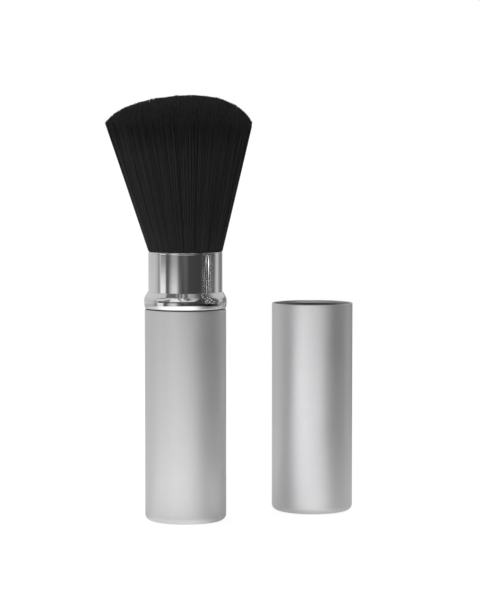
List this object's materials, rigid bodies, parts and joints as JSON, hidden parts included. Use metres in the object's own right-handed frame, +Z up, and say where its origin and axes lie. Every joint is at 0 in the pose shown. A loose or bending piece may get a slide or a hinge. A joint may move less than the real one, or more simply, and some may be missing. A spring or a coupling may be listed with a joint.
{
  "type": "retractable makeup brush",
  "caption": "Retractable makeup brush with flared dark bristles, a polished sliding sleeve and bead collar, a matt aluminium handle, and its matching cap standing beside it.",
  "frame": {"origin": "centre of the flat face under the handle, at the surface that the brush and its cap stand on", "axes": "+Z up along the handle's and sleeve's axis, from the base to the bristles; +X to the side on which the cap stands; +Y away from the viewer"},
  "size_m": [0.0684, 0.0477, 0.1165],
  "materials": {
    "matt_aluminium": "fine bead-blasted and clear anodised, satin",
    "polished_aluminium": "bright drawn",
    "chrome": "mirror polished",
    "zinc_steel": "zinc plated",
    "dark_bristle": "dark synthetic filament, faint sheen along the strands",
    "white_plastic": "moulded, satin",
    "black_plastic": "moulded, satin",
    "rubber": "matt",
    "resin": "cast, glossy"
  },
  "bodies": {
    "handle": {"handle_shell": "matt_aluminium", "base_plug": "white_plastic", "stem_screw": "zinc_steel", "brush_stem": "white_plastic", "bristle_cup": "polished_aluminium", "glue_plug": "resin", "bristles": "dark_bristle", "guide_bush": "black_plastic", "bead_collar": "chrome"},
    "sleeve": {"chrome_sleeve": "chrome", "slider_foot": "black_plastic", "brake_ring": "rubber"},
    "cap": {"cap_shell": "matt_aluminium", "cap_liner": "black_plastic"}
  },
  "joints": [
    {"name": "sleeve_slide", "type": "slide", "parent": "handle", "child": "sleeve", "axis": [0, 0, 1], "range_m": [0, 0.042], "deforming": ["bristles"]},
    {"name": "cap_lift", "type": "slide", "parent": "handle", "child": "cap", "axis": [0, 0, 1], "range_m": [0, 0.06]}
  ]
}
